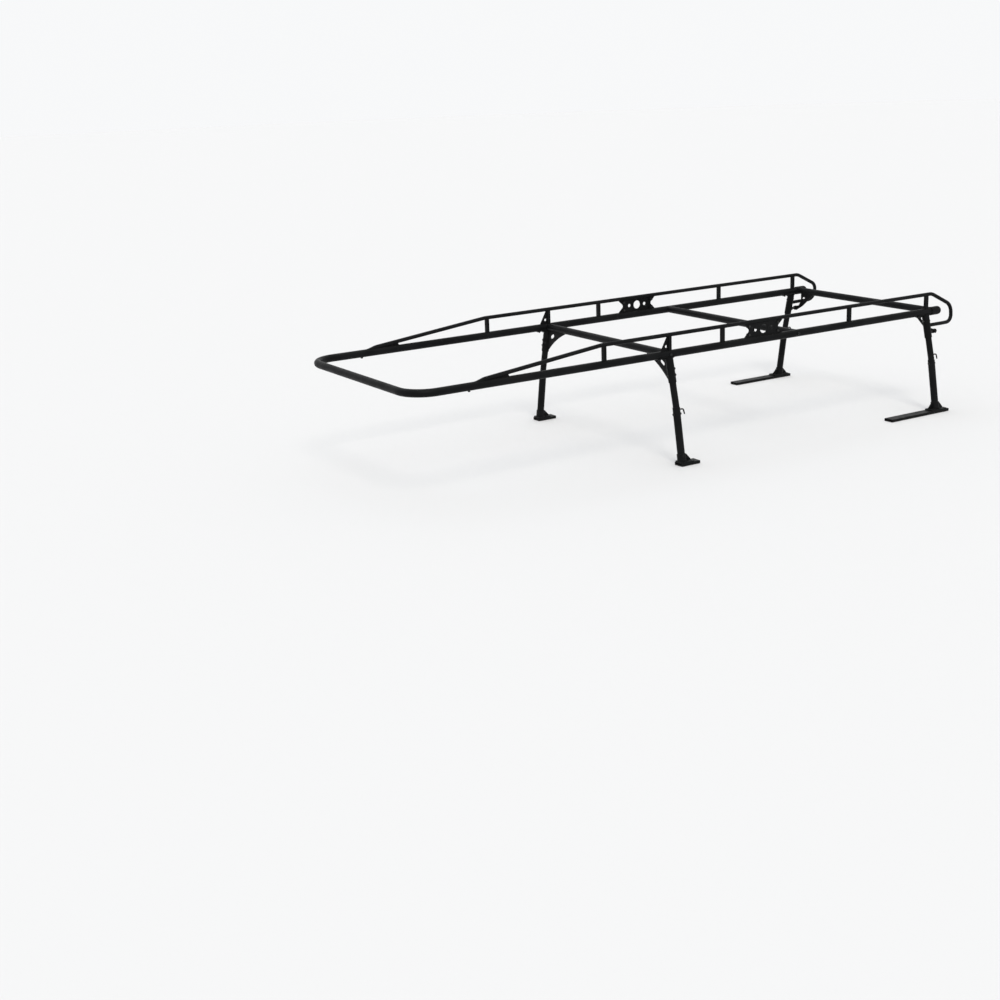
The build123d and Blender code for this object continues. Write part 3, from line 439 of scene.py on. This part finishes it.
def bead(points, closed, radius, phase):
    """Vertices and faces of a rippled weld bead along a chain."""
    spots = resampled(points, closed, BEAD_STEP)
    count = len(spots)
    vertices, faces = [], []
    side = None
    for index, spot in enumerate(spots):
        ahead = spots[(index + 1) % count] if closed or index < count - 1 else spot
        behind = spots[index - 1] if closed or index > 0 else spot
        along = (ahead - behind).normalized()
        side = along.orthogonal() if side is None else side - along * side.dot(along)
        side.normalize()
        across = along.cross(side)
        travelled = index * BEAD_STEP
        ripple = abs(math.sin(math.pi * travelled / BEAD_RIPPLE + phase))
        slow, fast = BEAD_WANDER
        wander = math.sin(travelled * slow + 2 * phase) + math.sin(travelled * fast + phase)
        core, ripple_share, wander_share = BEAD_SWELL
        size = radius * (core + ripple_share * ripple + wander_share * wander)
        if not closed:
            from_end = min(index, count - 1 - index) * BEAD_STEP
            size *= min(1.0, BEAD_TAPER + from_end / (2 * radius))
        for turn in range(BEAD_SIDES):
            angle = 2 * math.pi * turn / BEAD_SIDES
            vertices.append(spot + (side * math.cos(angle) + across * math.sin(angle)) * size)
    rings = count if closed else count - 1
    for ring in range(rings):
        for turn in range(BEAD_SIDES):
            a = ring * BEAD_SIDES + turn
            b = ring * BEAD_SIDES + (turn + 1) % BEAD_SIDES
            following = ((ring + 1) % count) * BEAD_SIDES
            faces.append((a, b, following + b % BEAD_SIDES, following + a % BEAD_SIDES))
    if not closed:
        faces.append(tuple(reversed(range(BEAD_SIDES))))
        last = (count - 1) * BEAD_SIDES
        faces.append(tuple(last + turn for turn in range(BEAD_SIDES)))
    return vertices, faces


def weld(name, body, found, radius):
    """One piece with a bead along each chain."""
    vertices, faces = [], []
    for order, (points, closed) in enumerate(found):
        more_vertices, more_faces = bead(points, closed, radius, BEAD_PHASE * order)
        shift = len(vertices)
        vertices += more_vertices
        faces += [tuple(shift + corner for corner in face) for face in more_faces]
    if faces:
        finished(name, vertices, faces, body, "black_coated_steel", weld_coat, BEAD_SMOOTH)


def contact_edges(mesh, host):
    """The sharp edges of a mesh that lie on a CAD node's surface."""
    tree = tree_of(host)
    touching = set()
    for vertex in mesh.verts:
        distance = tree.find_nearest(vertex.co, WELD_TOUCH)[3]
        if distance is not None:
            touching.add(vertex)
    return [
        edge
        for edge in mesh.edges
        if edge.verts[0] in touching and edge.verts[1] in touching and edge.calc_face_angle(0.0) > CREASE
    ]


def weld_contact(piece, host, radius, keep=None):
    """Weld a CAD node to the one that it is coped to."""
    mesh = welded_mesh(piece)
    found = [
        chain
        for chain in outer_chains(chains(contact_edges(mesh, host)))
        if length_of(*chain) > SHORTEST_WELD and (keep is None or keep(chain[0][0]))
    ]
    mesh.free()
    weld(f"weld_{piece}_to_{host}", body_of_node(piece), found, radius)


def weld_creases(piece, radius, keep):
    """Weld the inside corners of a CAD node that is made of several plates and tubes."""
    mesh = welded_mesh(piece)
    corners = [
        edge
        for edge in mesh.edges
        if len(edge.link_faces) == 2
        and edge.calc_face_angle_signed(0.0) < -CREASE
        and keep((edge.verts[0].co + edge.verts[1].co) / 2)
    ]
    found = [chain for chain in chains(corners) if length_of(*chain) > SHORTEST_WELD]
    mesh.free()
    weld(f"weld_{piece}_seams", body_of_node(piece), found, radius)


def outside(host):
    """A test for points that are not against a leg tube, so not inside the socket around it."""
    return lambda point: tree_of(host).find_nearest(point, SOCKET_CLEARANCE)[3] is None


for side in SIDES:
    for end in ENDS:
        upper_leg, lower_leg = f"{side}_{end}_upper_leg", f"{side}_{end}_lower_leg"
        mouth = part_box(f"{side}_{end}_foot")[0][2] + COLLAR_MOUTH
        weld_creases(f"{side}_{end}_leg_head", BEAD_WIDE, outside(upper_leg))
        weld_creases(f"{side}_{end}_foot", BEAD_WIDE, outside(lower_leg))
        weld_contact(f"{side}_{end}_foot", lower_leg, BEAD_WIDE, lambda point: point.z > mouth)
        weld_contact("tie_down_cleats", upper_leg, BEAD_THIN)
        weld_contact("tie_down_cleats", lower_leg, BEAD_THIN)
    for end in ENDS:
        weld_contact(f"{side}_uprights", f"{side}_{end}_lower_rail", BEAD_THIN)
        weld_contact(f"{side}_uprights", f"{side}_{end}_upper_rail", BEAD_THIN)
        weld_contact("splice_tabs", f"{side}_{end}_lower_rail", BEAD_THIN)
        weld_contact("splice_tabs", f"{side}_{end}_upper_rail", BEAD_THIN)
    weld_contact("rail_gussets", f"{side}_front_lower_rail", BEAD_THIN)
    weld_contact("rail_gussets", f"{side}_uprights", BEAD_THIN)
    weld_contact("front_webs", f"{side}_front_lower_rail", BEAD_THIN)
    weld_contact("front_webs", f"{side}_front_upper_rail", BEAD_THIN)
    weld_contact(f"{side}_front_upper_rail", f"{side}_front_lower_rail", BEAD_THIN)
    weld_contact(f"{side}_rear_upper_rail", f"{side}_rear_leg_head", BEAD_THIN)
    weld_contact("rear_crossbar", f"{side}_end_sleeve", BEAD_WIDE)
    weld_contact(f"{side}_crossbar_gusset", "rear_crossbar", BEAD_THIN)
    weld_contact(f"{side}_crossbar_gusset", f"{side}_end_sleeve", BEAD_THIN)
    weld_contact("lock_nuts", f"{side}_rear_leg_head", BEAD_THIN)


def lathe(rings, sides, place, capped=(True, True)):
    """A surface through rings, each a function of the angle that gives a radius and a height."""
    vertices, faces = [], []
    for ring in rings:
        for turn in range(sides):
            angle = 2 * math.pi * turn / sides
            radius, height = ring(angle)
            vertices.append(place @ Vector((radius * math.cos(angle), radius * math.sin(angle), height)))
    for ring in range(len(rings) - 1):
        for turn in range(sides):
            low, high = ring * sides, (ring + 1) * sides
            following = (turn + 1) % sides
            faces.append((low + turn, low + following, high + following, high + turn))
    if capped[0]:
        faces.append(tuple(reversed(range(sides))))
    if capped[1]:
        last = (len(rings) - 1) * sides
        faces.append(tuple(last + turn for turn in range(sides)))
    return vertices, faces


def circle(radius, height):
    """A round ring for lathe()."""
    return lambda angle: (radius, height)


def hexagon(corner, height, chamfer_from=None):
    """A hexagonal ring for lathe(), lower towards its corners if it belongs to a chamfer."""
    flat = corner * HEX_FLAT

    def ring(angle):
        turned = angle % HEX_TURN - HEX_TURN / 2
        radius = flat / math.cos(turned)
        drop = 0.0 if chamfer_from is None else (radius - chamfer_from) * HEX_CHAMFER
        return radius, height - drop

    return ring


def thread(radius, height, pitch=THREAD_PITCH):
    """A ring of a screw thread for lathe()."""

    def ring(angle):
        share = (height / pitch - angle / (2 * math.pi)) % 1.0
        return radius - THREAD_DEPTH * abs(2 * share - 1), height

    return ring


def joined(parts):
    """Several (vertices, faces) as one."""
    vertices, faces = [], []
    for more_vertices, more_faces in parts:
        shift = len(vertices)
        vertices += more_vertices
        faces += [tuple(shift + corner for corner in face) for face in more_faces]
    return vertices, faces


def axis_of(points, longest):
    """The axis along which some points reach the furthest, or the least far."""
    low, high = span(points)
    sizes = list(high - low)
    return sizes.index(max(sizes) if longest else min(sizes))


def placed(origin, axis, sign, corner_point):
    """A matrix whose Z is along an axis, turned so that a hexagon's corner is at a point."""
    z = Vector((0, 0, 0))
    z[axis] = sign
    x = corner_point - origin
    x -= z * x.dot(z)
    x.normalize()
    y = z.cross(x)
    matrix = Matrix((x, y, z)).transposed().to_4x4()
    matrix.translation = origin
    return matrix


def radial(point, middle, axis):
    """Distance of a point from a line along an axis."""
    away = point - middle
    away[axis] = 0
    return away.length


def detailed_bolt(points):
    """A chamfered hexagon head with a washer face, and a shank with a rolled thread."""
    axis = axis_of(points, True)
    low, high = span(points)
    middle = (low + high) / 2
    widest = max(points, key=lambda p: radial(p, middle, axis))
    corner = radial(widest, middle, axis)
    head_points = [p[axis] for p in points if radial(p, middle, axis) > NEAR_WIDEST * corner]
    head_low, head_high = min(head_points), max(head_points)
    sign = 1 if head_high > middle[axis] else -1
    seat = head_low if sign > 0 else head_high
    far = low[axis] if sign > 0 else high[axis]
    shank = min(radial(p, middle, axis) for p in points if abs(p[axis] - far) < END_BAND)
    head = head_high - head_low
    length = abs(far - seat)
    origin = middle.copy()
    origin[axis] = seat
    place = placed(origin, axis, sign, widest)
    flat = corner * HEX_FLAT
    top = [
        circle(flat * 0.96, 0.0),
        circle(flat * 0.98, head * 0.07),
        hexagon(corner, head * 0.10),
        hexagon(corner, head * 0.97, flat * CHAMFER_START),
        circle(flat * CHAMFER_START, head),
        circle(flat * 0.55, head),
        circle(flat * 0.50, head * 0.965),
    ]
    threaded = min(length * 0.8, THREAD_LENGTH)
    steps = int(threaded / (THREAD_PITCH / THREAD_STEPS))
    rod = [circle(shank * 0.78, -length), circle(shank * 0.80, -length + POINT_CHAMFER)]
    for step in range(steps):
        rod.append(thread(shank, -length + THREAD_START + step * THREAD_PITCH / THREAD_STEPS))
    rod.append(circle(shank, 0.0))
    return joined([lathe(top, FASTENER_SIDES, place), lathe(rod, FASTENER_SIDES // 2, place)])


def detailed_nut(points):
    """A hexagon nut, chamfered at both ends."""
    axis = axis_of(points, False)
    low, high = span(points)
    middle = (low + high) / 2
    widest = max(points, key=lambda p: radial(p, middle, axis))
    corner = radial(widest, middle, axis)
    bore = min(radial(p, middle, axis) for p in points)
    height = high[axis] - low[axis]
    place = placed(middle, axis, 1, widest)
    flat = corner * HEX_FLAT
    half = height / 2

    def low_chamfer(angle):
        radius, drop = hexagon(corner, 0.0, flat * CHAMFER_START)(angle)
        return radius, -half * 0.97 - drop

    rings = [
        circle(bore, -half * 0.9),
        circle(bore * 1.08, -half),
        circle(flat * CHAMFER_START, -half),
        low_chamfer,
        hexagon(corner, half * 0.97, flat * CHAMFER_START),
        circle(flat * CHAMFER_START, half),
        circle(bore * 1.08, half),
        circle(bore, half * 0.9),
    ]
    return lathe(rings, FASTENER_SIDES, place, (False, False))


def detailed_knob(points):
    """A lobed hand knob with soft edges, a dished back and a waisted hub."""
    low, high = span(points)
    middle = (low + high) / 2
    widest = max(points, key=lambda p: radial(p, middle, 0))
    reach = radial(widest, middle, 0)
    front = [radial(p, middle, 0) for p in points if p.x > high.x - HUB_INSET]
    hub, bore = max(front), min(front)
    grip = max(p.x for p in points if radial(p, middle, 0) > NEAR_WIDEST * reach)
    origin = Vector((grip, middle.y, middle.z))
    place = placed(origin, 0, 1, widest)
    depth = grip - low.x
    neck = high.x - grip

    def lobed(scale, height):
        def ring(angle):
            lobe = (1 - KNOB_LOBE_SHARE) + KNOB_LOBE_SHARE * math.cos(KNOB_LOBES * angle)
            return reach * scale * lobe, height

        return ring

    rings = [circle(reach * scale, -depth * share) for scale, share in KNOB_DISH]
    rings += [lobed(scale, -depth * share) for scale, share in KNOB_GRIP]
    rings += [circle(hub * scale, neck * share) for scale, share in KNOB_HUB]
    rings += [circle(bore, neck), circle(bore, neck * 0.8)]
    return lathe(rings, KNOB_SIDES, place)


def threaded_rod(points):
    """A screw with a rolled thread along its whole length and a chamfered end."""
    low, high = span(points)
    middle = (low + high) / 2
    radius = max(radial(p, middle, 0) for p in points)
    origin = Vector((low.x, middle.y, middle.z))
    place = placed(origin, 0, 1, points[0])
    length = high.x - low.x
    rings = [circle(radius * 0.86, 0.0)]
    for step in range(1, int(length / (SCREW_PITCH / THREAD_STEPS)) - 1):
        rings.append(thread(radius, step * SCREW_PITCH / THREAD_STEPS, SCREW_PITCH))
    rings += [circle(radius * 0.84, length - SCREW_CHAMFER), circle(radius * 0.74, length)]
    return lathe(rings, KNOB_SIDES // 3, place)


def rounded_cap(points):
    """A moulded end cap: a thin rim, a shallow step and a smooth dome."""
    low, high = span(points)
    middle = (low + high) / 2
    reach = max(radial(p, middle, 0) for p in points)
    edge = max(p.x for p in points if radial(p, middle, 0) > 0.99 * reach)
    spigot = max(radial(p, middle, 0) for p in points if p.x > edge + HUB_INSET)
    origin = Vector((edge, middle.y, middle.z))
    place = placed(origin, 0, 1, points[0])
    dome = edge - low.x
    rings = [circle(reach * 0.02, -dome)]
    for step in range(1, CAP_STEPS + 1):
        angle = math.pi / 2 * step / CAP_STEPS
        height = -dome * (CAP_RIM + (1 - CAP_RIM) * math.cos(angle))
        rings.append(circle(reach * CAP_STEP * math.sin(angle), height))
    rings += [
        circle(reach * CAP_STEP, -dome * 0.10),
        circle(reach * 0.995, -dome * 0.09),
        circle(reach, -dome * 0.06),
        circle(reach, 0.0),
        circle(spigot, 0.0),
        circle(spigot, high.x - edge),
    ]
    return lathe(rings, CAP_SIDES, place)


def replace_node(node_name, name, detailed, slot, material):
    """Put a detailed piece, made from each solid of a CAD node, in that node's place."""
    shape = joined([detailed(points) for points in islands(node_name)])
    piece = finished(name, *shape, body_of_node(node_name), slot, material)
    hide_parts(node_name)


BOLT_NODES = (
    "bow_bolts",
    "crossbar_bolts",
    "saddle_bolts",
    "splice_bolts",
    "leg_head_bolts",
    "leg_lock_bolts",
)
for node_name in BOLT_NODES:
    replace_node(node_name, f"detailed_{node_name}", detailed_bolt, "fastener_steel", fastener_coat)
for node_name in ("hex_nuts", "lock_nuts"):
    replace_node(node_name, f"detailed_{node_name}", detailed_nut, "fastener_steel", fastener_coat)
replace_node("sleeve_caps", "domed_sleeve_caps", rounded_cap, "black_plastic", plastic)
for side in SIDES:
    knob_name, screw_name = f"{side}_knob", f"{side}_knob_screw"
    replace_node(knob_name, f"lobed_{knob_name}", detailed_knob, "black_plastic", plastic)
    replace_node(screw_name, f"threaded_{screw_name}", threaded_rod, "fastener_steel", fastener_coat)

# Camera
forward = Vector(
    (
        math.cos(CAMERA_YAW) * math.cos(CAMERA_PITCH),
        math.sin(CAMERA_YAW) * math.cos(CAMERA_PITCH),
        math.sin(CAMERA_PITCH),
    )
)
level_right = forward.cross(Vector((0, 0, 1))).normalized()
level_up = level_right.cross(forward)
right = level_right * math.cos(CAMERA_ROLL) + level_up * math.sin(CAMERA_ROLL)
up = level_up * math.cos(CAMERA_ROLL) - level_right * math.sin(CAMERA_ROLL)
camera = bpy.data.objects.new("camera", bpy.data.cameras.new("camera"))
camera.data.lens = CAMERA_LENS
camera.data.clip_end = 4 * FLOOR_RADIUS
camera.matrix_world = Matrix.Translation(CAMERA_PLACE) @ Matrix((right, up, -forward)).transposed().to_4x4()
bpy.context.scene.collection.objects.link(camera)
bpy.context.scene.camera = camera

# Light
world = bpy.data.worlds.new("studio")
world.use_nodes = True
world.node_tree.nodes["Background"].inputs["Color"].default_value = SKY_COLOUR
world.node_tree.nodes["Background"].inputs["Strength"].default_value = SKY_STRENGTH
bpy.context.scene.world = world
bpy.context.scene.view_settings.view_transform = "Standard"

for name, (origin, strength, colour, softness) in LAMPS.items():
    lamp = bpy.data.objects.new(name, bpy.data.lights.new(name, "SUN"))
    lamp.data.energy = strength
    lamp.data.color = colour
    lamp.data.angle = softness
    lamp.rotation_mode = "QUATERNION"
    lamp.rotation_quaternion = origin.to_track_quat("Z", "Y")
    bpy.context.scene.collection.objects.link(lamp)

# Floor
floor_mesh = bpy.data.meshes.new("floor")
floor_turns = [2 * math.pi * i / FLOOR_CORNERS for i in range(FLOOR_CORNERS)]
floor_mesh.from_pydata(
    [(FLOOR_RADIUS * math.cos(turn), FLOOR_RADIUS * math.sin(turn), 0.0) for turn in floor_turns],
    [],
    [tuple(range(FLOOR_CORNERS))],
)
floor = bpy.data.objects.new("floor", floor_mesh)
floor_paint = bpy.data.materials.new("pale_floor")
floor_paint.use_nodes = True
floor_paint.node_tree.nodes["Principled BSDF"].inputs["Base Color"].default_value = FLOOR_COLOUR
floor_paint.node_tree.nodes["Principled BSDF"].inputs["Roughness"].default_value = FLOOR_ROUGHNESS
floor_mesh.materials.append(floor_paint)
bpy.context.scene.collection.objects.link(floor)
